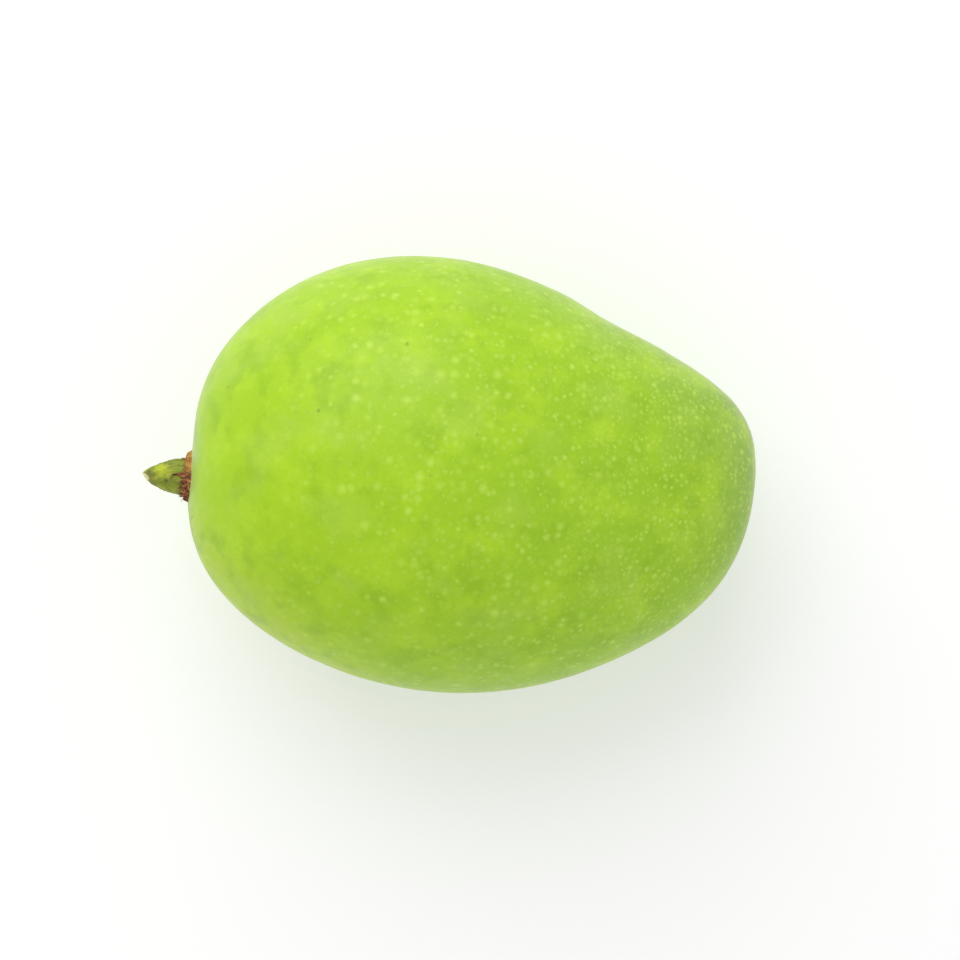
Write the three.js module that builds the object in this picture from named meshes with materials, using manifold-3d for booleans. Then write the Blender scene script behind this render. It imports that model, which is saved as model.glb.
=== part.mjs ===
// A whole green mango as picked, lying on its flatter cheek, with the stub of its stalk still on it.
// Lengths are in millimetres and angles in degrees. +X runs from the stalk to the nose, +Y towards the
// back of the fruit, and +Z up from the surface that it lies on.
import * as THREE from "three";
import { mergeVertices } from "three/addons/utils/BufferGeometryUtils.js";
import Module from "manifold-3d";

// Driving sizes of the fruit
const FRUIT_LENGTH = 112;
const STALK_END_Y = -2.3; // how far towards the back each end of the long axis is
const NOSE_Y = 3.2;
const CHEEK_SQUARENESS = 0.03; // how much fuller a cross-section is than an ellipse
const BACK_HEAVINESS = 0.02; // how much thicker the cheeks are towards the back
const UNEVENNESS = 0.22; // height of the soft swells of the skin
const REST_PITCH = 4.2; // how far the fruit settles onto its nose as it lies
const REST_DEPTH = 0.4; // how much of the lower cheek the flat resting spot takes away

// How full the fruit is at nine stations from the stalk end (-1) to the nose (1). Each figure is the
// half-width that an ellipsoid as full as the fruit is at that station would have at its middle.
const STATIONS = [
  { at: -1, back: 68, belly: 47, cheek: 41 },
  { at: -0.924, back: 59.8, belly: 43.8, cheek: 39.4 },
  { at: -0.707, back: 51.4, belly: 41.4, cheek: 37.2 },
  { at: -0.383, back: 47, belly: 41.8, cheek: 36.2 },
  { at: 0, back: 42.2, belly: 42.6, cheek: 34.5 },
  { at: 0.383, back: 35.4, belly: 43, cheek: 32.2 },
  { at: 0.707, back: 30.6, belly: 44.8, cheek: 30.4 },
  { at: 0.924, back: 31.6, belly: 49.8, cheek: 30.9 },
  { at: 1, back: 33.6, belly: 53.6, cheek: 32 },
];

// The skin is a little flatter behind the stalk
const FLAT_Y = 4.8;
const FLAT_DEPTH = 0.9;
const FLAT_REACH = 8;

// Driving sizes of the stalk stub and of the corky collar that it stands in
const STALK_Y = 0.15; // how far towards the back it stands
const STALK_SINK = 1.05; // how far inside the fruit's full length the collar is seated
const STALK_TILT = 2.3; // of the stub towards the back
const STUB_FOOT = 0.8; // how far outside the collar's seat the stub starts
const STUB_LENGTH = 9.1;
const STUB_RADIUS = 3.6;
const STUB_POINTEDNESS = 0.85; // 0.5 would be an elliptical dome, and 1 a sharper one
const STUB_FLATTENING = 0.92; // its thickness as a share of its width
const STUB_RIBBING = 0.035; // height of its narrow ribs as a share of its radius
const BROAD_RIB_SHARE = 0.6; // height of its broad ribs as a share of the narrow ones
const BREAK_BACK = 9.55; // where the broken tip crosses the stub's axis
const BREAK_SLANT = 40;
const COLLAR_RADIUS = 5.85;
const COLLAR_HEIGHT = 1.25;
const COLLAR_SUNK = 1.5; // how deep it reaches inside its seat
const COLLAR_LIP = 0.3; // width of its upper edge
const COLLAR_MOUTH = 0.94; // height of the lip's inner edge as a share of the collar's
const CLEARANCE = 0.3; // between pieces that touch
const RIM_RAGGEDNESS = 0.06;
const SPLINTERS = 11;
const SPLINTER_RADIUS = 0.5;
const SHORTEST_SPLINTER = 1.4;
const LONGEST_SPLINTER = 3.4;
const SPLINTER_ROOT = 0.9; // how deep a splinter is sunk in the collar
const SPLINTER_SIDES = 6;
const MOST_INWARD_LEAN = 22;
const MOST_OUTWARD_LEAN = 3;
const SPLINTER_SEED = 20;

// Fineness of the faceted surfaces
const FRUIT_ROWS = 44;
const FRUIT_COLUMNS = 64;
const STUB_ROWS = 14;
const STUB_COLUMNS = 30;
const COLLAR_SEGMENTS = 48;

const SKIN_GREEN = 0xa6d038;
const STALK_GREEN = 0x8f9a33;
const CORK_BROWN = 0x94623a;

// The collar's flare from its rim to its lip, as shares of the flare's width and of the collar's height
const FLARE = [
  { out: 1, up: -0.15 },
  { out: 0.8, up: 0.15 },
  { out: 0.5, up: 0.5 },
  { out: 0.25, up: 0.82 },
  { out: 0, up: 1 },
];

// The stub with its highest ribs, and the round hole in the collar that clears it
const STUB_GIRTH = STUB_RADIUS * (1 + (1 + BROAD_RIB_SHARE) * STUB_RIBBING);
const HOLE_RADIUS = STUB_GIRTH + CLEARANCE;

const wasm = await Module();
wasm.setup();

const radians = THREE.MathUtils.degToRad;

// Joins the vertices of a closed geometry and makes it a solid that can be cut and joined.
function solidOf(geometry) {
  const bare = geometry.clone();
  bare.deleteAttribute("normal");
  bare.deleteAttribute("uv");
  const merged = mergeVertices(bare, 1e-4);
  return new wasm.Manifold(
    new wasm.Mesh({
      numProp: 3,
      vertProperties: merged.attributes.position.array,
      triVerts: new Uint32Array(merged.index.array),
    }),
  );
}

function geometryOf(solid) {
  const { vertProperties, triVerts } = solid.getMesh();
  const geometry = new THREE.BufferGeometry();
  geometry.setAttribute("position", new THREE.BufferAttribute(vertProperties, 3));
  geometry.setIndex(new THREE.BufferAttribute(triVerts, 1));
  geometry.computeVertexNormals();
  return geometry;
}

// A closed skin of rings between two poles. pointAt takes a share of the way from the first pole to the
// last, and a share of the way round.
function closedSkin(rows, columns, pointAt) {
  const points = [pointAt(0, 0)];
  for (let row = 1; row < rows; row += 1) {
    for (let column = 0; column < columns; column += 1) {
      points.push(pointAt(row / rows, column / columns));
    }
  }
  points.push(pointAt(1, 0));
  const last = points.length - 1;
  const vertex = (row, column) => 1 + (row - 1) * columns + (column % columns);
  const faces = [];
  for (let column = 0; column < columns; column += 1) {
    faces.push(0, vertex(1, column + 1), vertex(1, column));
    faces.push(last, vertex(rows - 1, column), vertex(rows - 1, column + 1));
    for (let row = 1; row < rows - 1; row += 1) {
      const [a, b] = [vertex(row, column), vertex(row, column + 1)];
      const [c, d] = [vertex(row + 1, column), vertex(row + 1, column + 1)];
      faces.push(a, b, c, b, d, c);
    }
  }
  return new THREE.BufferGeometry().setFromPoints(points).setIndex(faces);
}

// One smooth curve through the nine stations' figures for one side of the fruit.
function fullness(side, at) {
  return STATIONS.reduce((total, here) => {
    const others = STATIONS.filter((other) => other !== here);
    const share = others.reduce((product, other) => (product * (at - other.at)) / (here.at - other.at), 1);
    return total + here[side] * share;
  }, 0);
}

// The soft swells of a grown skin, which fade out at both ends.
function swell(at, turn, dome) {
  const slow = Math.sin(2 * turn + 2.6 * at);
  const quick = Math.sin(3 * turn - 4.1 * at + 1.3);
  return UNEVENNESS * dome * (slow + 0.7 * quick);
}

// How far the skin sinks in at a point of the stalk end's side of the fruit.
function flatBehindStalk(at, y, z) {
  const distance = Math.hypot(y - FLAT_Y, z) / FLAT_REACH;
  return at < 0 ? FLAT_DEPTH * Math.exp(-distance * distance) : 0;
}

// A point of the fruit's skin, with the whole fruit grown outwards by a small distance.
function fruitPoint(along, around, grow = 0) {
  const at = -Math.cos(Math.PI * along);
  const dome = Math.sin(Math.PI * along);
  const turn = 2 * Math.PI * around;
  const back = fullness("back", at) + grow;
  const belly = fullness("belly", at) + grow;
  const cheek = fullness("cheek", at) + grow + swell(at, turn, dome);
  const across = Math.cos(turn);
  const up = Math.sin(turn);
  const axis = THREE.MathUtils.lerp(STALK_END_Y, NOSE_Y, (at + 1) / 2);
  const middle = axis + (dome * (back - belly)) / 2;
  const width = (dome * (back + belly)) / 2;
  const y = middle + width * across * (1 + CHEEK_SQUARENESS * up * up);
  const z = dome * cheek * up * (1 + CHEEK_SQUARENESS * across * across) * (1 + BACK_HEAVINESS * across);
  return new THREE.Vector3((FRUIT_LENGTH / 2 + grow) * at + flatBehindStalk(at, y, z), y, z);
}

// Turns a piece from level to how the fruit lies at rest.
function settle(geometry) {
  return geometry.rotateY(radians(REST_PITCH));
}

function fruitSkin(grow) {
  const skin = closedSkin(FRUIT_ROWS, FRUIT_COLUMNS, (along, around) => fruitPoint(along, around, grow));
  return solidOf(settle(skin));
}

// A block that reaches from one plane of Z down past everything.
function blockBelow(z) {
  const block = new THREE.BoxGeometry(2 * FRUIT_LENGTH, 2 * FRUIT_LENGTH, FRUIT_LENGTH);
  return solidOf(block.translate(0, 0, z - FRUIT_LENGTH / 2));
}

function lowestOf(solid) {
  return new THREE.Box3().setFromBufferAttribute(geometryOf(solid).attributes.position).min.z;
}

function makeFruit() {
  const whole = fruitSkin(0);
  return whole.subtract(blockBelow(lowestOf(whole) + REST_DEPTH));
}

// Puts a piece made along +Y from a flat base onto the stalk end, where its +Y points out of the fruit.
function placeOnStalkEnd(geometry) {
  const turned = geometry.rotateZ(radians(90 - STALK_TILT));
  return settle(turned.translate(STALK_SINK - FRUIT_LENGTH / 2, STALK_Y, 0));
}

// A point of the stalk stub: its flat base first, then a pointed dome with ribs that fade at the tip.
function stubPoint(along, around) {
  const turn = 2 * Math.PI * around;
  const baseShare = 2 / STUB_ROWS;
  const up = Math.max(0, (along - baseShare) / (1 - baseShare));
  const height = Math.sin((Math.PI / 2) * up);
  const dome = (1 - height * height) ** STUB_POINTEDNESS;
  const girth = along < baseShare ? along / baseShare : dome;
  const ribs = Math.sin(5 * turn + 0.8) + BROAD_RIB_SHARE * Math.sin(3 * turn + 2.2 * height);
  const radius = STUB_RADIUS * girth * (1 + STUB_RIBBING * ribs);
  return new THREE.Vector3(
    radius * Math.cos(turn),
    STUB_FOOT + STUB_LENGTH * height,
    -STUB_FLATTENING * radius * Math.sin(turn),
  );
}

function makeStub() {
  const dome = solidOf(placeOnStalkEnd(closedSkin(STUB_ROWS, STUB_COLUMNS, stubPoint)));
  const waste = new THREE.BoxGeometry(4 * STUB_RADIUS, STUB_LENGTH, 4 * STUB_RADIUS);
  waste.translate(0, STUB_LENGTH / 2, 0).rotateZ(radians(BREAK_SLANT)).translate(0, BREAK_BACK, 0);
  return dome.subtract(solidOf(placeOnStalkEnd(waste)));
}

// The same run of draws each time, from 0 to 1.
function makeDraws(seed) {
  let state = seed;
  return () => {
    state = (state * 1664525 + 1013904223) % 4294967296;
    return state / 4294967296;
  };
}

// The collar's turned form: a flared ring round the stub, with a ragged outer rim.
function collarRing() {
  const lip = HOLE_RADIUS + COLLAR_LIP;
  const flare = COLLAR_RADIUS - lip;
  const profile = [
    new THREE.Vector2(HOLE_RADIUS, -COLLAR_SUNK),
    new THREE.Vector2(COLLAR_RADIUS, -COLLAR_SUNK),
    ...FLARE.map(({ out, up }) => new THREE.Vector2(lip + out * flare, up * COLLAR_HEIGHT)),
    new THREE.Vector2(HOLE_RADIUS, COLLAR_MOUTH * COLLAR_HEIGHT),
    new THREE.Vector2(HOLE_RADIUS, -COLLAR_SUNK),
  ];
  const ring = new THREE.LatheGeometry(profile, COLLAR_SEGMENTS);
  const places = ring.attributes.position;
  for (let i = 0; i < places.count; i += 1) {
    const [x, y, z] = [places.getX(i), places.getY(i), places.getZ(i)];
    const radius = Math.hypot(x, z);
    const turn = Math.atan2(z, x);
    const rim = Math.max(0, (radius - HOLE_RADIUS) / (COLLAR_RADIUS - HOLE_RADIUS));
    const ragged = 1 + RIM_RAGGEDNESS * rim * (Math.sin(7 * turn) + 0.6 * Math.sin(13 * turn + 1));
    places.setXYZ(i, x * ragged, y, z * ragged);
  }
  return solidOf(ring);
}

// Torn remains of the flower's cup: thin points that stand on the collar's lip and lean along the stub.
function splinter(turn, length, lean) {
  const point = new THREE.ConeGeometry(SPLINTER_RADIUS, length + SPLINTER_ROOT, SPLINTER_SIDES);
  point.translate(0, (length + SPLINTER_ROOT) / 2 - SPLINTER_ROOT, 0);
  point.rotateZ(radians(lean));
  point.translate(HOLE_RADIUS + SPLINTER_RADIUS, COLLAR_HEIGHT, 0).rotateY(turn);
  return solidOf(point);
}

function makeCollar() {
  const draw = makeDraws(SPLINTER_SEED);
  let collar = collarRing();
  for (let i = 0; i < SPLINTERS; i += 1) {
    const turn = (2 * Math.PI * (i + 0.6 * draw())) / SPLINTERS;
    const length = THREE.MathUtils.lerp(SHORTEST_SPLINTER, LONGEST_SPLINTER, draw() ** 2);
    const lean = THREE.MathUtils.lerp(-MOST_INWARD_LEAN, MOST_OUTWARD_LEAN, draw());
    collar = collar.add(splinter(turn, length, lean));
  }
  const placed = solidOf(placeOnStalkEnd(geometryOf(collar)));
  return placed.subtract(fruitSkin(CLEARANCE));
}

function makeMesh(name, solid, colour, roughness) {
  const material = new THREE.MeshStandardMaterial({ color: colour, roughness, metalness: 0 });
  const mesh = new THREE.Mesh(geometryOf(solid), material);
  mesh.name = name;
  return mesh;
}

const mango = new THREE.Group();
mango.add(
  makeMesh("fruit", makeFruit(), SKIN_GREEN, 0.45),
  makeMesh("stalk_stub", makeStub(), STALK_GREEN, 0.7),
  makeMesh("stalk_collar", makeCollar(), CORK_BROWN, 0.9),
);

// The origin is under the middle of the whole thing, on the surface that it lies on.
const box = new THREE.Box3().setFromObject(mango);
const centre = box.getCenter(new THREE.Vector3());
mango.position.set(-centre.x, -centre.y, -box.min.z);

export default mango;
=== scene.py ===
# A whole green mango lying on its cheek, with its stalk stub in a torn corky collar.
# Lengths are in metres. +X runs from the stalk to the nose, +Y towards the back, and +Z up.
import math
import random

import bpy
from mathutils import Matrix, Vector, noise


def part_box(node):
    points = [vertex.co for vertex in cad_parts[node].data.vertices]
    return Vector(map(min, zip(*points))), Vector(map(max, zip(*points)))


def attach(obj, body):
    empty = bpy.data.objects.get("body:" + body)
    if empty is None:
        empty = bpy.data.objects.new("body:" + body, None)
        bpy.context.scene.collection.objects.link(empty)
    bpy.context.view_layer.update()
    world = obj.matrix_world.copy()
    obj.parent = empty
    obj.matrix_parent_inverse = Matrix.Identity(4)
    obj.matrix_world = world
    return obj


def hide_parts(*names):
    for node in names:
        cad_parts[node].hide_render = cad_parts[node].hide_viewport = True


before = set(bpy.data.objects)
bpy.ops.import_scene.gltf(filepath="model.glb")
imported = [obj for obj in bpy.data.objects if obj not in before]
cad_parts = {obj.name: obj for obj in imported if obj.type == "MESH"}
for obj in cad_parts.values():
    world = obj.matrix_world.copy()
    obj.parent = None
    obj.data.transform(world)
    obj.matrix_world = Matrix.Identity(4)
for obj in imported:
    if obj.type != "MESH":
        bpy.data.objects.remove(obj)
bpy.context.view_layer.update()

MM = 0.001
BODY = "root"

# Where the fruit's outline lies in the photograph, in pixels of its frame
PHOTO_SIDE = 960
PHOTO_FRUIT_LEFT = 188.7
PHOTO_FRUIT_RIGHT = 757.0
PHOTO_FRUIT_TOP = 256.0
PHOTO_FRUIT_BOTTOM = 693.0

# The camera looks straight down at the upper cheek
CAMERA_LENS_MM = 150
CAMERA_SENSOR_MM = 36

# Studio light: a pale dome all round, one large soft lamp from the back, and a floor that glows a little
DOME_STRENGTH = 0.7
LAMP_PLACE = Vector((-0.25, 0.68, 0.78))
LAMP_WIDTH = 0.9
LAMP_WATTS = 5.9
FLOOR_SIDE = 6
FLOOR_PALENESS = 0.66
FLOOR_GLOW = 0.36
FLOOR_ROUGHNESS = 0.8

# How close loose triangles are to be joined, and how much a mesh is smoothed
JOIN_WITHIN = 0.002 * MM
SMOOTHING = {"factor": 0.5, "iterations": 6}

# The skin
FRUIT_CUTS = 31  # along each edge of the first cube
FINE_LEVELS = 2
SKIN_GROWTH = 0.07 * MM  # makes good what the smoothing takes off
BROAD_SWELLS = (24 * MM, 0.2 * MM)
SMALL_SWELLS = (6 * MM, 0.1 * MM)
PEEL_GRAIN = (1.7 * MM, 0.035 * MM)
PUCKER_REACH = 8 * MM
PUCKER_COUNT = 11
PUCKER_HEIGHT = 0.05 * MM

# Where the skin sinks in a little or, below zero, stands out: X, Y, reach and depth in millimetres
SOFT_DENTS = [
    (30.8, 30.1, 6.0, 0.3),
    (22.0, 35.7, 5.0, -0.15),
    (40.1, 25.7, 5.0, -0.15),
    (52.5, 17.4, 4.0, 0.12),
]

# The stalk's lie, and heights along it from the stub's flat foot
STALK_TURN = math.radians(2.3)
STALK_PITCH = math.radians(4.2)
BREAK_HEIGHT = 8.75 * MM
BREAK_SLANT = math.radians(40)
BREAK_LIFT = math.radians(22)
STUB_BEND = 0.25  # how far its tip leans to the back, in millimetres
STUB_VOXEL = 0.11 * MM

# The stub's relief in millimetres: coarse and fine wrinkles along it, coarse and fine warts, torn fibres
WRINKLES = (0.16, 0.07)
WARTS = (0.1, 0.05)
TORN_FIBRES = 0.3

# Marks on the stub in its own frame, in millimetres: +X towards the belly, +Y up, +Z out along it
YELLOW_PATCH = Vector((-1.9, 1.9, 5.4))
PATCH_STIR = 0.7
TIP_SPOT = Vector((-0.35, 1.2, 8.0))

# The collar's turned section, as (radius, height) in millimetres from the stub's foot
COLLAR_SECTION = [
    (5.9, -1.9), (5.86, -1.4), (5.78, -1.0), (5.42, -0.55), (5.12, -0.2), (4.84, 0.06),
    (4.5, 0.28), (4.2, 0.39), (3.9, 0.42), (3.6, 0.28), (3.35, -0.1), (3.15, -0.8),
]
LIP_HEIGHT = 0.42
LOWER_NARROWING = 0.08  # how much less the ring reaches out on the belly's side
COLLAR_STEPS = 144
TORN_SIDE = math.radians(45)  # the middle of the side where the cup tore off roughly

# The cork's relief in millimetres, and how much more of it the torn side has
CORK_STREAKS = 0.1
MORE_STREAKS = 0.12
CORK_GRAIN = 0.08
CORK_LUMPS = 0.12
RAGGED_LIP = 0.1
MORE_RAGGED = 0.5
RING_RELIEF = 0.12
SPLINTER_RELIEF = 0.06

# Splinters laid one by one: the turn round the stub in degrees, then in millimetres how far the tip reaches
# beyond the lip, the width, how far the tip lifts off the stub and how far it sways sideways
LONG_SPLINTERS = [(102, 2.85, 1.3, 0.2, -0.3), (94, 1.9, 1.0, 0.25, 0.4)]
LOWER_TAILS = [(8, 0.9, 0.6, 1.7, 0.3), (-14, 0.4, 0.6, 0.4, -0.3)]

# Splinters laid by chance, in rows: how many, the first one's turn and the step, in degrees
SPLINTER_SEED = 11
TORN_ROW = (18, -4, 5.8)
SHORT_ROW = (22, 115, 11)


def srgb(red, green, blue):
    """A colour as a screen shows it, from 0 to 255, made the linear colour that a shader takes."""
    def linear(value):
        share = value / 255
        return share / 12.92 if share <= 0.04045 else ((share + 0.055) / 1.055) ** 2.4

    return (linear(red), linear(green), linear(blue), 1.0)


# The skin's colours
GREEN_BY_STALK = srgb(166, 208, 18)
GREEN_BY_NOSE = srgb(156, 201, 30)
PORE_HALO = srgb(142, 186, 18)
PORE_PALE = srgb(200, 232, 92)
SPECK_DARK = srgb(88, 116, 26)
PALE_BY_STALK = srgb(168, 194, 108)
DRIED_SAP = srgb(118, 136, 40)

# The stalk's colours
BARK_OLIVE = srgb(124, 138, 26)
BARK_LIGHT = srgb(160, 170, 40)
BARK_BROWN = srgb(118, 112, 34)
BARK_YELLOW = srgb(184, 198, 26)
BARK_SPECK = srgb(62, 68, 16)
TIP_GREY = srgb(96, 92, 56)
BREAK_EDGE = srgb(112, 112, 44)
BREAK_PITH = srgb(232, 232, 168)

# The cork's colours
CORK_BROWN = srgb(152, 100, 40)
# Pale orange of the torn fibres: a painted highlight
CORK_PAINTED_HIGHLIGHT = srgb(200, 134, 78)
# Near-black red-brown: painted shade in the cork's crevices
CORK_CREVICE_SHADE = srgb(62, 30, 22)
SPLINTER_TIP = srgb(74, 32, 14)
RING_PALE = srgb(192, 144, 70)
RING_DARK = srgb(112, 62, 36)
SPLINTER_PALE = srgb(186, 134, 70)
SPLINTER_DARK = srgb(112, 60, 36)

# Painted light and shade on the skin: darker zones towards the nose and the shoulder are painted shade, a
# greyish zone at the nose's end is a painted reflection along its rim, and a paler, yellower zone towards
# the belly is
# painted bounce light. For each: the way to it, from where and to where along it the colour comes in, in
# millimetres, its full share, and the colour
TO_NOSE = (0.95, 0.3, 0)
TO_SHOULDER = (0.62, 0.78, 0)
TO_BELLY = (-0.7, -0.7, 0)
PAINTED_LIGHT_ZONES = [
    (TO_NOSE, 37, 53, 0.7, srgb(134, 176, 44)),
    (TO_SHOULDER, 35, 46, 0.5, srgb(146, 184, 66)),
    (TO_NOSE, 50, 60, 0.5, srgb(156, 182, 96)),
    (TO_BELLY, 32, 46, 0.6, srgb(188, 218, 44)),
]

# Clouds on the skin: size in millimetres, detail, the pattern's shift, between which of its values the
# colour comes in, its full share, and the colour
SKIN_CLOUDS = [
    (9, 3, (0, 0, 0), 0.44, 0.68, 0.6, srgb(180, 220, 32)),
    (6, 4, (-20, 50, 10), 0.48, 0.7, 0.6, srgb(144, 188, 14)),
    (11, 2, (40, 7, 90), 0.5, 0.72, 0.35, srgb(172, 206, 78)),
    (0.6, 3, (0, 0, 0), 0.5, 0.72, 0.14, srgb(132, 174, 20)),
]

# Dots on the skin: how far apart, radius, and the faintest one's share, then two places along the fruit
# and the share at each. Lengths are in millimetres.
LARGE_PORES = (2.4, 1.1, 0.25, 48, 15, 0.1, 0.85)
MIDDLE_PORES = (1.6, 0.8, 0.2, -25, 25, 0.35, 0.95)
SMALL_PORES = (1.1, 0.6, 0.25, 8, 40, 0, 0.85)
PORE_HALOES = (1.6, 1.4, 0.0, -30, 30, 0.15, 0.5)
DARK_SPECKS = (6.0, 0.48, 0.0, 30, -15, 0.1, 0.75)
FEWER_BY_STALK = (-44, -16, 0.2, 1)
PORE_SHARE = 0.75

# The middles of the pale zone and of the dried sap, in millimetres from the stub's foot
PALE_MIDDLE = Vector((2, 3, 2))
SAP_MIDDLE = Vector((2.5, -7.5, 3))

# From the most polished to the dullest patches of skin
SKIN_ROUGHNESS = (0.4, 0.52)


def blend_in(value, start, end):
    """Goes smoothly from 0 at start to 1 at end."""
    share = min(1.0, max(0.0, (value - start) / (end - start)))
    return share * share * (3 - 2 * share)


def take(piece):
    """Leaves one piece selected and active."""
    bpy.ops.object.select_all(action="DESELECT")
    piece.select_set(True)
    bpy.context.view_layer.objects.active = piece


def apply_modifier(piece, kind, **settings):
    modifier = piece.modifiers.new(kind.title(), kind)
    for name, value in settings.items():
        setattr(modifier, name, value)
    take(piece)
    bpy.ops.object.modifier_apply(modifier=modifier.name)


def settle_in_place(piece, place):
    """Puts a piece where the matrix says, with its place in its mesh."""
    piece.matrix_world = place
    take(piece)
    bpy.ops.object.transform_apply(location=True, rotation=True, scale=True)


def swell(piece, name, size, height):
    """Raises and sinks a surface by a cloud pattern of the given size and height."""
    pattern = bpy.data.textures.new(name, "CLOUDS")
    pattern.noise_scale = size
    pattern.noise_depth = 1
    apply_modifier(
        piece, "DISPLACE", texture=pattern, texture_coords="LOCAL", strength=height, mid_level=0.5,
    )
    bpy.data.textures.remove(pattern)


def reshape(piece, rule):
    """Moves each vertex to where the rule says, given its place and its normal."""
    mesh = piece.data
    normals = [normal.vector.copy() for normal in mesh.vertex_normals]
    moved = [rule(vertex.co, normal) for vertex, normal in zip(mesh.vertices, normals)]
    mesh.vertices.foreach_set("co", [number for place in moved for number in place])
    mesh.update()


def copy_of_node(node, name):
    """A copy of a frame node with its loose triangles joined."""
    piece = bpy.data.objects.new(name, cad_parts[node].data.copy())
    bpy.context.collection.objects.link(piece)
    take(piece)
    bpy.ops.object.mode_set(mode="EDIT")
    bpy.ops.mesh.select_all(action="SELECT")
    bpy.ops.mesh.remove_doubles(threshold=JOIN_WITHIN)
    bpy.ops.mesh.tris_convert_to_quads()
    bpy.ops.object.mode_set(mode="OBJECT")
    return piece


def dress(piece, material, node):
    """Gives a finished piece its material and its place in the frame."""
    piece.data.materials.clear()
    piece.data.materials.append(material)
    take(piece)
    bpy.ops.object.shade_smooth()
    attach(piece, BODY)
    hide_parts(node)


class Finish:
    """A material's node tree, with a short call for each kind of node that the finishes use."""

    # Sockets of a colour mix
    COLOUR_A = 6
    COLOUR_B = 7
    COLOUR_OUT = 2

    # What a dot's distance is multiplied by, from the largest dot to the smallest
    DOT_SIZES = (0.75, 1.5)

    def __init__(self, name):
        self.material = bpy.data.materials.new(name)
        self.material.use_nodes = True
        self.tree = self.material.node_tree
        self.shader = self.tree.nodes["Principled BSDF"]
        coordinates = self.tree.nodes.new("ShaderNodeTexCoord")
        self.place = self.vector("MULTIPLY", coordinates.outputs["Object"], (1 / MM,) * 3)

    def new(self, kind, **settings):
        node = self.tree.nodes.new("ShaderNode" + kind)
        for name, value in settings.items():
            setattr(node, name, value)
        return node

    def put(self, socket, value):
        if isinstance(value, bpy.types.NodeSocket):
            self.tree.links.new(value, socket)
        else:
            socket.default_value = value

    def vector(self, operation, first, second):
        node = self.new("VectorMath", operation=operation)
        self.put(node.inputs[0], first)
        self.put(node.inputs[1], second)
        return node.outputs["Value" if operation in ("DISTANCE", "DOT_PRODUCT") else "Vector"]

    def math(self, operation, first, second):
        node = self.new("Math", operation=operation)
        self.put(node.inputs[0], first)
        self.put(node.inputs[1], second)
        return node.outputs[0]

    def times(self, first, second):
        return self.math("MULTIPLY", first, second)

    def axis(self, letter):
        node = self.new("SeparateXYZ")
        self.put(node.inputs[0], self.place)
        return node.outputs[letter]

    def clouds(self, size_mm, detail, place=None):
        node = self.new("TexNoise")
        self.put(node.inputs["Vector"], self.place if place is None else place)
        self.put(node.inputs["Scale"], 1 / size_mm)
        self.put(node.inputs["Detail"], detail)
        return node.outputs["Fac"]

    def stirred(self, size_mm, reach_mm):
        """Places moved a little at random, so that round marks come out uneven."""
        node = self.new("TexNoise")
        self.put(node.inputs["Vector"], self.place)
        self.put(node.inputs["Scale"], 1 / size_mm)
        moved = self.vector("MULTIPLY", node.outputs["Color"], (2 * reach_mm,) * 3)
        return self.vector("ADD", self.place, moved)

    def dots(self, place, apart_mm, radius_mm, weakest):
        """Soft dots on scattered points, each with its own size and strength: up to 1 in the middle."""
        node = self.new("TexVoronoi")
        self.put(node.inputs["Vector"], place)
        self.put(node.inputs["Scale"], 1 / apart_mm)
        draws = self.new("SeparateColor")
        self.put(draws.inputs[0], node.outputs["Color"])
        stretch = self.fade(draws.outputs[1], 0, 1, *self.DOT_SIZES)
        distance = self.times(node.outputs["Distance"], stretch)
        dot = self.fade(distance, radius_mm / apart_mm, 0)
        return self.times(dot, self.fade(draws.outputs[0], 0, 1, weakest, 1))

    def fade(self, value, start, end, low=0.0, high=1.0):
        """Goes smoothly from low at start to high at end."""
        node = self.new("MapRange", interpolation_type="SMOOTHSTEP")
        self.put(node.inputs["Value"], value)
        for name, number in (("From Min", start), ("From Max", end), ("To Min", low), ("To Max", high)):
            self.put(node.inputs[name], number)
        return node.outputs["Result"]

    def over(self, share, colour, top):
        """Lays a share of the top colour over a colour."""
        node = self.new("Mix", data_type="RGBA")
        self.put(node.inputs["Factor"], share)
        self.put(node.inputs[self.COLOUR_A], colour)
        self.put(node.inputs[self.COLOUR_B], top)
        return node.outputs[self.COLOUR_OUT]

    def relief(self, height, depth_mm, normal=None):
        node = self.new("Bump")
        self.put(node.inputs["Height"], height)
        self.put(node.inputs["Distance"], depth_mm * MM)
        if normal is not None:
            self.put(node.inputs["Normal"], normal)
        return node.outputs["Normal"]

    def done(self, colour, roughness, normal, **constants):
        self.put(self.shader.inputs["Base Color"], colour)
        self.put(self.shader.inputs["Roughness"], roughness)
        self.put(self.shader.inputs["Normal"], normal)
        for name, value in constants.items():
            self.shader.inputs[name.replace("_", " ")].default_value = value
        return self.material


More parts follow.
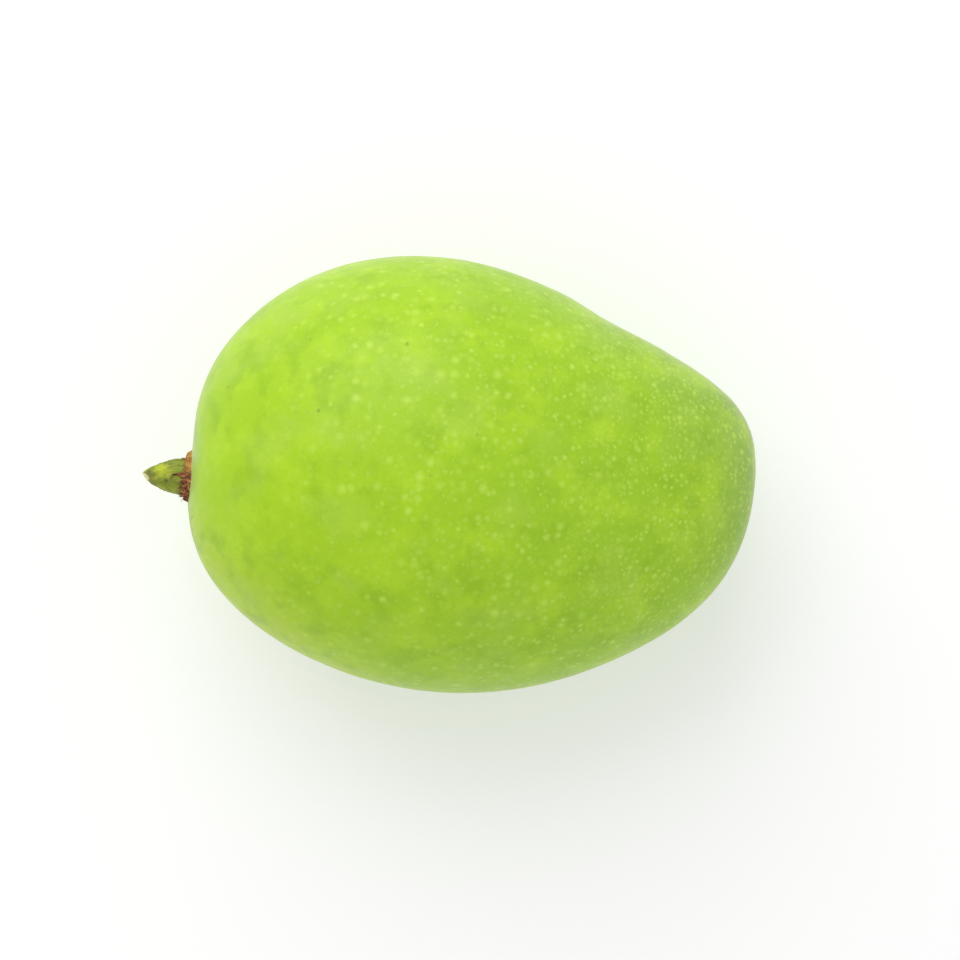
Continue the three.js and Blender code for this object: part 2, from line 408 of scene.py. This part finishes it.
def skin_finish(stalk_foot):
    """Waxy yellow-green rind: pale pores, crowded towards the nose, over soft clouds of green."""
    skin = Finish("mango_skin")
    along = skin.axis("X")
    colour = skin.over(skin.fade(along, -35, 40), GREEN_BY_STALK, GREEN_BY_NOSE)
    # Painted shade towards the nose and the shoulder, a painted reflection at the nose's rim, and painted
    # bounce light towards the belly
    for way, start, end, share, green in PAINTED_LIGHT_ZONES:
        towards = skin.vector("DOT_PRODUCT", skin.place, way)
        colour = skin.over(skin.fade(towards, start, end, 0, share), colour, green)
    for size, detail, shift, start, end, share, green in SKIN_CLOUDS:
        pattern = skin.clouds(size, detail, skin.vector("ADD", skin.place, shift))
        colour = skin.over(skin.fade(pattern, start, end, 0, share), colour, green)

    def strewn(places, apart, radius, faintest, *by_place):
        """Dots whose share changes along the fruit."""
        return skin.times(skin.dots(places, apart, radius, faintest), skin.fade(along, *by_place))

    # Pores: large and far apart at the shoulder, small and crowded at the nose
    uneven = skin.stirred(0.9, 0.45)
    larger = skin.math("MAXIMUM", strewn(uneven, *LARGE_PORES), strewn(uneven, *MIDDLE_PORES))
    larger = skin.times(larger, skin.fade(along, *FEWER_BY_STALK))
    pores = skin.math("MAXIMUM", larger, strewn(uneven, *SMALL_PORES))
    colour = skin.over(strewn(uneven, *PORE_HALOES), colour, PORE_HALO)
    colour = skin.over(skin.times(pores, PORE_SHARE), colour, PORE_PALE)

    # A few dark specks, a paler zone round the stalk, and flecks of dried sap below it
    colour = skin.over(strewn(skin.stirred(0.5, 0.25), *DARK_SPECKS), colour, SPECK_DARK)
    near_stalk = skin.vector("DISTANCE", skin.place, tuple(stalk_foot / MM + PALE_MIDDLE))
    patches = skin.fade(skin.clouds(3, 3), 0.35, 0.7, 0.4, 1)
    pale = skin.times(skin.fade(near_stalk, 13, 5, 0, 0.8), patches)
    colour = skin.over(pale, colour, PALE_BY_STALK)
    near_sap = skin.vector("DISTANCE", skin.place, tuple(stalk_foot / MM + SAP_MIDDLE))
    flecks = skin.fade(skin.clouds(0.9, 4), 0.5, 0.66, 0, 0.7)
    colour = skin.over(skin.times(flecks, skin.fade(near_sap, 6, 1.5)), colour, DRIED_SAP)

    grain = skin.math("ADD", skin.times(pores, 0.35), skin.times(skin.clouds(0.45, 3), 0.4))
    normal = skin.relief(grain, 0.04)
    normal = skin.relief(skin.clouds(3.0, 3), 0.09, normal)
    roughness = skin.fade(skin.clouds(2.5, 3), 0.3, 0.7, *SKIN_ROUGHNESS)
    return skin.done(
        colour,
        roughness,
        normal,
        Specular_IOR_Level=0.38,
        Subsurface_Weight=0.1,
        Subsurface_Radius=(0.6, 1.0, 0.15),
        Subsurface_Scale=1.5 * MM,
        Sheen_Weight=0.24,
        Sheen_Roughness=0.27,
        Sheen_Tint=(1.0, 0.8, 0.88, 1.0),
    )


def break_plane(stalk):
    """A point of the broken tip's plane, and the way that it faces."""
    side = Vector((math.sin(BREAK_SLANT), math.sin(BREAK_LIFT), math.cos(BREAK_SLANT)))
    return stalk @ Vector((0, 0, BREAK_HEIGHT)), stalk.to_3x3() @ side.normalized()


def stalk_finish(stalk):
    """Green living stalk: olive with a yellow patch and dark specks, and a pale face where it broke off."""
    bark = Finish("mango_stalk")
    fibres = bark.vector("MULTIPLY", bark.place, (0.4, 1, 1))
    colour = bark.over(bark.fade(bark.clouds(2.0, 3, fibres), 0.4, 0.62), BARK_OLIVE, BARK_LIGHT)
    colour = bark.over(bark.fade(bark.clouds(1.1, 3), 0.5, 0.66, 0, 0.6), colour, BARK_BROWN)

    # Stirring moves each place on by its reach on average, and the patch is moved with it
    patch = (stalk @ (YELLOW_PATCH * MM)) / MM + Vector((PATCH_STIR,) * 3)
    near_patch = bark.vector("DISTANCE", bark.stirred(0.9, PATCH_STIR), tuple(patch))
    colour = bark.over(bark.fade(near_patch, 2.1, 0.7, 0, 0.75), colour, BARK_YELLOW)
    specks = bark.dots(bark.stirred(0.5, 0.2), 1.1, 0.62, 0.0)
    colour = bark.over(bark.times(specks, 0.95), colour, BARK_SPECK)
    tip = (stalk @ (TIP_SPOT * MM)) / MM
    near_tip = bark.vector("DISTANCE", bark.place, tuple(tip))
    colour = bark.over(bark.fade(near_tip, 1.3, 0.6, 0, 0.5), colour, TIP_GREY)

    # The broken end: a dull band, then the pale open face
    point, facing = break_plane(stalk)
    level = facing.dot(point) / MM
    beyond = bark.math("SUBTRACT", bark.vector("DOT_PRODUCT", bark.place, tuple(facing)), level)
    colour = bark.over(bark.fade(beyond, -0.9, -0.45, 0, 0.6), colour, BREAK_EDGE)
    pith = bark.fade(bark.clouds(0.5, 2), 0.25, 0.55, 0.5, 1)
    open_face = bark.fade(bark.vector("DISTANCE", bark.place, tuple(point / MM)), 2.0, 1.3)
    face = bark.times(bark.fade(beyond, -0.5, -0.25), open_face)
    colour = bark.over(bark.times(face, pith), colour, BREAK_PITH)
    normal = bark.relief(bark.clouds(0.5, 4, fibres), 0.1)
    return bark.done(colour, 0.6, normal, Subsurface_Weight=0.05, Subsurface_Scale=0.8 * MM)


def cork_finish(name, stalk, pale, dark, relief_mm):
    """Dry torn cork: orange-brown on the sound side, dark red-brown on the torn side with pale orange
    streaks that are painted highlights on its fibres.
    """
    cork = Finish(name)
    fibres = cork.vector("MULTIPLY", cork.place, (0.35, 1, 1))
    side = stalk.translation.y / MM
    torn = cork.fade(cork.axis("Y"), side + 1.6, side + 0.5)
    sound_cork = cork.over(cork.fade(cork.clouds(0.8, 4, fibres), 0.4, 0.62), CORK_BROWN, pale)
    # On the torn side: dark red-brown with pale orange streaks, painted highlights on its fibres
    torn_cork_and_highlights = cork.over(cork.fade(cork.clouds(0.6, 4, fibres), 0.48, 0.62), dark, CORK_PAINTED_HIGHLIGHT)
    colour = cork.over(torn, sound_cork, torn_cork_and_highlights)
    # Dark patches all over: painted shade of the cork's crevices
    colour = cork.over(cork.fade(cork.clouds(0.5, 4), 0.56, 0.7, 0, 0.75), colour, CORK_CREVICE_SHADE)

    # The ends of the splinters are darker, by how far they reach beyond the lip
    out = stalk.to_3x3() @ Vector((0, 0, 1))
    lip = out.dot(stalk.translation) / MM + LIP_HEIGHT
    beyond = cork.math("SUBTRACT", cork.vector("DOT_PRODUCT", cork.place, tuple(out)), lip)
    colour = cork.over(cork.fade(beyond, 0.9, 1.9, 0, 0.85), colour, SPLINTER_TIP)
    normal = cork.relief(cork.clouds(0.3, 5, fibres), relief_mm)
    return cork.done(colour, 0.85, normal)


def make_fruit(stalk_foot):
    """The smooth fruit, laid over the frame's solid and given the soft swells of a grown skin."""
    low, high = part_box("fruit")
    guide = copy_of_node("fruit", "guide")
    apply_modifier(guide, "SUBSURF", levels=FINE_LEVELS, render_levels=FINE_LEVELS)

    bpy.ops.object.select_all(action="DESELECT")
    bpy.ops.mesh.primitive_cube_add(size=2)
    fruit = bpy.context.active_object
    fruit.name = "mango_fruit"
    bpy.ops.object.mode_set(mode="EDIT")
    bpy.ops.mesh.select_all(action="SELECT")
    bpy.ops.mesh.subdivide(number_cuts=FRUIT_CUTS)
    bpy.ops.object.mode_set(mode="OBJECT")
    apply_modifier(fruit, "CAST", cast_type="SPHERE", factor=1.0, use_radius_as_size=False, size=1.0)
    half = (high - low) / 2
    settle_in_place(fruit, Matrix.Translation((low + high) / 2) @ Matrix.Diagonal((*half, 1)))
    apply_modifier(fruit, "SHRINKWRAP", target=guide, wrap_method="NEAREST_SURFACEPOINT")
    apply_modifier(fruit, "SMOOTH", **SMOOTHING)
    apply_modifier(
        fruit, "SHRINKWRAP", target=guide, wrap_method="NEAREST_SURFACEPOINT",
        wrap_mode="ABOVE_SURFACE", offset=SKIN_GROWTH,
    )
    apply_modifier(fruit, "SUBSURF", levels=FINE_LEVELS, render_levels=FINE_LEVELS)
    bpy.data.objects.remove(guide)

    swell(fruit, "broad_swells", *BROAD_SWELLS)
    swell(fruit, "small_swells", *SMALL_SWELLS)
    swell(fruit, "peel_grain", *PEEL_GRAIN)

    def grow(place, normal):
        """Soft dents, fine puckers of the skin round the stalk, and a flat spot below."""
        rise = 0.0
        for x, y, reach, depth in SOFT_DENTS:
            away = math.hypot(place.x / MM - x, place.y / MM - y) / reach
            rise -= depth * MM * math.exp(-away * away)
        offset = place - stalk_foot
        away = offset.length / PUCKER_REACH
        turn = math.atan2(offset.z, offset.y)
        ripple = math.sin(PUCKER_COUNT * turn + 1.5 * math.sin(2 * turn))
        rise += PUCKER_HEIGHT * ripple * math.exp(-away * away)
        moved = place + normal * rise
        return moved.x, moved.y, max(moved.z, 0.0)

    reshape(fruit, grow)
    return fruit


def stalk_frame():
    """The stub's foot, turned so that +Z points out of the fruit along the stalk and +Y is up."""
    out = Vector((-math.cos(STALK_TURN), math.sin(STALK_TURN), 0))
    out.rotate(Matrix.Rotation(STALK_PITCH, 3, "Y"))
    places = [vertex.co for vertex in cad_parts["stalk_stub"].data.vertices]
    nearest = min(place.dot(out) for place in places)
    disc = [place for place in places if place.dot(out) < nearest + 0.02 * MM]
    foot = sum(disc, Vector()) / len(disc)
    return Matrix.Translation(foot) @ out.to_track_quat("Z", "Y").to_matrix().to_4x4()


def make_stub(stalk):
    """The stalk stub: the frame's solid made fine, with wrinkles along it and a fibrous broken tip."""
    stub = copy_of_node("stalk_stub", "mango_stalk_stub")
    apply_modifier(stub, "REMESH", mode="VOXEL", voxel_size=STUB_VOXEL)
    apply_modifier(stub, "SMOOTH", **SMOOTHING)
    point, facing = break_plane(stalk)
    to_stalk = stalk.inverted()

    def weather(place, normal):
        """Wrinkles and warts on the bark, fibres on the broken face, and a slight bend to the back."""
        local = (to_stalk @ place) / MM
        along = Vector((1.1 * local.x, 1.1 * local.y, 0.28 * local.z))
        wrinkles = WRINKLES[0] * noise.noise(along) + WRINKLES[1] * noise.noise(2.7 * along)
        warts = WARTS[0] * noise.noise(1.6 * local) + WARTS[1] * noise.noise(4.2 * local)
        torn = blend_in((place - point).dot(facing) / MM, -0.25, -0.05)
        across = Vector((5 * local.x, 5 * local.y, 0.6 * local.z))
        ends = TORN_FIBRES * noise.noise(across) - 0.12
        bend = Vector((0, STUB_BEND * (local.z * MM / BREAK_HEIGHT) ** 2, 0))
        return place + (normal * ((1 - torn) * (wrinkles + warts) + torn * ends) + bend) * MM

    reshape(stub, weather)
    return stub


def turn_ring(name, section, steps):
    """A closed ring turned about Z from a section of (radius, height) points in millimetres."""
    first_radius, first_height = section[0]
    bpy.ops.object.select_all(action="DESELECT")
    bpy.ops.mesh.primitive_circle_add(
        vertices=steps, radius=first_radius * MM, location=(0, 0, first_height * MM),
    )
    ring = bpy.context.active_object
    ring.name = name
    take(ring)
    bpy.ops.object.transform_apply(location=True)
    bpy.ops.object.mode_set(mode="EDIT")
    bpy.ops.mesh.select_all(action="SELECT")
    radius, height = first_radius, first_height
    for next_radius, next_height in section[1:] + section[:1]:
        rise = (0, 0, (next_height - height) * MM)
        bpy.ops.mesh.extrude_region_move(TRANSFORM_OT_translate={"value": rise})
        spread = next_radius / radius
        bpy.ops.transform.resize(value=(spread, spread, 1), center_override=(0, 0, next_height * MM))
        radius, height = next_radius, next_height
    bpy.ops.mesh.select_all(action="SELECT")
    bpy.ops.mesh.remove_doubles(threshold=0.001 * MM)
    bpy.ops.mesh.normals_make_consistent(inside=False)
    bpy.ops.object.mode_set(mode="OBJECT")
    return ring


def make_collar_ring(stalk):
    """The corky ring, ragged along its lip and torn open on one side."""
    ring = turn_ring("mango_collar_ring", COLLAR_SECTION, COLLAR_STEPS)
    apply_modifier(ring, "SUBSURF", levels=1, render_levels=1)

    def roughen(place, normal):
        """Streaks, grain and lumps all over, a ragged lip, and less reach on the belly's side."""
        local = place / MM
        turn = math.atan2(local.y, local.x)
        torn = 0.5 + 0.5 * math.cos(turn - TORN_SIDE)
        lip = blend_in(local.z, LIP_HEIGHT - 1, LIP_HEIGHT - 0.3)
        streak = noise.noise(Vector((2.4 * local.x, 2.4 * local.y, 0.5 * local.z)))
        fine = noise.noise(Vector((6 * local.x, 6 * local.y, 2 * local.z + 9)))
        lump = noise.noise(1.1 * local)
        streaks = (CORK_STREAKS + MORE_STREAKS * torn) * streak
        out = normal * (streaks + CORK_GRAIN * fine + CORK_LUMPS * lump)
        ragged = RAGGED_LIP + MORE_RAGGED * torn
        rise = Vector((0, 0, lip * ragged * (streak + 0.5 * fine + 0.1)))
        inwards = Vector((-LOWER_NARROWING * blend_in(local.x, 0, local.length) * local.x, 0, 0))
        return place + (out + rise + inwards) * MM

    reshape(ring, roughen)
    settle_in_place(ring, stalk)
    return ring


class Splinters:
    """Torn points of the flower's cup. One is modelled, and each copy is laid along the stub."""

    SIDES = 6
    RINGS = 8

    # Sizes in millimetres
    ROOT_HEIGHT = -0.1  # from the stub's foot
    ROOT_RADIUS = 4.0  # from the stub's axis
    LEAST_RADIUS = 0.3  # from the stub's axis
    GAP = 0.12  # from a splinter's middle to the stub's surface
    TIP_RADIUS = 0.04
    FRAYING = 0.07
    OUTSIDE = 8  # safely beyond the stub's surface
    PAST_END = 0.5  # the stub's radius where there is none left

    FLATNESS = 0.5  # thickness as a share of the width

    def __init__(self, stub, stalk, seed):
        self.stub = stub
        self.stalk = stalk
        self.to_stub = stub.matrix_world.inverted() @ stalk
        self.draw = random.Random(seed)
        self.made = []
        bpy.ops.object.select_all(action="DESELECT")
        bpy.ops.mesh.primitive_circle_add(vertices=self.SIDES, radius=1, fill_type="NGON")
        self.model = bpy.context.active_object
        bpy.ops.object.mode_set(mode="EDIT")
        bpy.ops.mesh.select_all(action="SELECT")
        for _ in range(self.RINGS):
            step = {"value": (0, 0, 1 / self.RINGS)}
            bpy.ops.mesh.extrude_region_move(TRANSFORM_OT_translate=step)
        bpy.ops.mesh.select_all(action="SELECT")
        bpy.ops.mesh.normals_make_consistent(inside=False)
        bpy.ops.object.mode_set(mode="OBJECT")

    def stub_radius(self, turn, height):
        """How far the stub's surface is from its axis, in millimetres."""
        out = Vector((math.cos(turn), math.sin(turn), 0))
        start = self.to_stub @ ((self.OUTSIDE * out + Vector((0, 0, height))) * MM)
        towards = self.to_stub.to_3x3() @ -out
        hit, place, _, _ = self.stub.ray_cast(start, towards)
        if not hit:
            return self.PAST_END
        local = (self.to_stub.inverted() @ place) / MM
        return math.hypot(local.x, local.y)

    def lay(self, turn, beyond, width, lift, sway):
        """Lays one splinter at a turn round the stub. The sizes are in millimetres: how far the tip reaches
        beyond the collar's lip, the width, and how far the tip lifts off the stub and sways sideways."""
        piece = self.model.copy()
        piece.data = self.model.data.copy()
        bpy.context.collection.objects.link(piece)
        reach = LIP_HEIGHT + beyond - self.ROOT_HEIGHT
        spine = []
        for step in range(self.RINGS + 1):
            share = step / self.RINGS
            height = self.ROOT_HEIGHT + reach * share
            side = turn + sway * share * share / self.ROOT_RADIUS
            close = max(self.stub_radius(side, max(height, LIP_HEIGHT)) + self.GAP, self.LEAST_RADIUS)
            leaning = blend_in(height, LIP_HEIGHT - 0.5, LIP_HEIGHT + 0.4)
            radius = self.ROOT_RADIUS * (1 - leaning) + close * leaning + lift * share * share
            spine.append((side, radius, height))
        phase = self.draw.uniform(0, 6)

        def along_spine(place, normal):
            """Bends the upright model along the spine, uneven in width and narrowing to its tip."""
            share = place.z
            side, radius, height = spine[round(share * self.RINGS)]
            uneven = 1 + 0.3 * math.sin(5 * share + phase)
            half_width = width / 2 * (1 - share) ** 0.75 * uneven + self.TIP_RADIUS
            angle = side + place.x * half_width / max(radius, 0.5)
            distance = radius + place.y * half_width * self.FLATNESS
            return Vector((distance * math.cos(angle), distance * math.sin(angle), height)) * MM

        reshape(piece, along_spine)
        apply_modifier(piece, "SUBSURF", levels=1, render_levels=1)
        self.made.append(piece)

    def join(self, name):
        bpy.data.objects.remove(self.model)
        bpy.ops.object.select_all(action="DESELECT")
        for piece in self.made:
            piece.select_set(True)
        bpy.context.view_layer.objects.active = self.made[0]
        bpy.ops.object.join()
        joined = bpy.context.active_object
        joined.name = name
        bpy.ops.object.mode_set(mode="EDIT")
        bpy.ops.mesh.select_all(action="SELECT")
        bpy.ops.mesh.normals_make_consistent(inside=False)
        bpy.ops.object.mode_set(mode="OBJECT")

        def fray(place, normal):
            local = place / MM
            stretched = Vector((5 * local.x, 5 * local.y, 1.4 * local.z))
            return place + normal * MM * self.FRAYING * noise.noise(stretched)

        reshape(joined, fray)
        settle_in_place(joined, self.stalk)
        return joined


def make_splinters(stub, stalk):
    """All the splinters: long ones on the upper face, and shorter ones round the sound side."""
    splinters = Splinters(stub, stalk, SPLINTER_SEED)
    draw = splinters.draw

    # The long dark one and its neighbour, and the row down the torn side
    for degrees, *sizes in LONG_SPLINTERS:
        splinters.lay(math.radians(degrees), *sizes)
    count, first, step = TORN_ROW
    for place in range(count):
        turn = math.radians(first + step * place + draw.uniform(-3, 3))
        beyond = draw.uniform(0.6, 1.8)
        width = draw.uniform(0.5, 1.1)
        lift = draw.uniform(0.1, 0.5)
        splinters.lay(turn, beyond, width, lift, sway=draw.uniform(-0.6, 0.6))

    # A curled tail that stands away from the lower edge, and a shorter one below it
    for degrees, *sizes in LOWER_TAILS:
        splinters.lay(math.radians(degrees), *sizes)

    # Short remains of the cup along the sound side and underneath
    count, first, step = SHORT_ROW
    for place in range(count):
        turn = math.radians(first + step * place + draw.uniform(-4, 4))
        beyond = draw.uniform(0.1, 0.4) if draw.random() < 0.75 else draw.uniform(0.5, 1.3)
        width = draw.uniform(0.4, 0.8)
        lift = draw.uniform(0.0, 0.2)
        splinters.lay(turn, beyond, width, lift, sway=draw.uniform(-0.4, 0.4))
    return splinters.join("mango_splinters")


def make_camera():
    """Straight above, so that the fruit fills the frame as it does in the photograph."""
    low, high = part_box("fruit")
    middle = (low + high) / 2
    pixel = (high.x - low.x) / (PHOTO_FRUIT_RIGHT - PHOTO_FRUIT_LEFT)
    to_right = PHOTO_SIDE / 2 - (PHOTO_FRUIT_LEFT + PHOTO_FRUIT_RIGHT) / 2
    down = PHOTO_SIDE / 2 - (PHOTO_FRUIT_TOP + PHOTO_FRUIT_BOTTOM) / 2
    height = pixel * PHOTO_SIDE * CAMERA_LENS_MM / CAMERA_SENSOR_MM
    lens = bpy.data.cameras.new("camera")
    lens.lens = CAMERA_LENS_MM
    lens.sensor_width = CAMERA_SENSOR_MM
    camera = bpy.data.objects.new("camera", lens)
    camera.location = (middle.x + to_right * pixel, middle.y - down * pixel, middle.z + height)
    bpy.context.collection.objects.link(camera)
    bpy.context.scene.camera = camera


def make_studio():
    """A pale paper floor, an even dome of light, and one large soft lamp."""
    bpy.ops.object.select_all(action="DESELECT")
    bpy.ops.mesh.primitive_plane_add(size=FLOOR_SIDE)
    floor = bpy.context.active_object
    floor.name = "floor"
    paper = bpy.data.materials.new("floor_paper")
    paper.use_nodes = True
    paper_shader = paper.node_tree.nodes["Principled BSDF"]
    paper_shader.inputs["Base Color"].default_value = (FLOOR_PALENESS,) * 3 + (1,)
    paper_shader.inputs["Roughness"].default_value = FLOOR_ROUGHNESS
    paper_shader.inputs["Emission Color"].default_value = (1, 1, 1, 1)
    paper_shader.inputs["Emission Strength"].default_value = FLOOR_GLOW
    floor.data.materials.append(paper)

    dome = bpy.data.worlds.new("studio_dome")
    dome.use_nodes = True
    dome.node_tree.nodes["Background"].inputs["Color"].default_value = (1, 1, 1, 1)
    dome.node_tree.nodes["Background"].inputs["Strength"].default_value = DOME_STRENGTH
    bpy.context.scene.world = dome

    soft = bpy.data.lights.new("soft_lamp", "AREA")
    soft.size = LAMP_WIDTH
    soft.energy = LAMP_WATTS
    lamp = bpy.data.objects.new("soft_lamp", soft)
    lamp.location = LAMP_PLACE
    lamp.rotation_euler = (-LAMP_PLACE).to_track_quat("-Z", "Y").to_euler()
    bpy.context.collection.objects.link(lamp)
    bpy.context.scene.view_settings.view_transform = "Standard"


make_camera()
stalk = stalk_frame()
stalk_foot = stalk.translation

fruit = make_fruit(stalk_foot)
dress(fruit, skin_finish(stalk_foot), "fruit")
stub = make_stub(stalk)
dress(stub, stalk_finish(stalk), "stalk_stub")
splinters = make_splinters(stub, stalk)
ring = make_collar_ring(stalk)
ring_cork = cork_finish("mango_cork", stalk, RING_PALE, RING_DARK, RING_RELIEF)
dress(ring, ring_cork, "stalk_collar")
splinter_cork = cork_finish("mango_splinters", stalk, SPLINTER_PALE, SPLINTER_DARK, SPLINTER_RELIEF)
dress(splinters, splinter_cork, "stalk_collar")
make_studio()
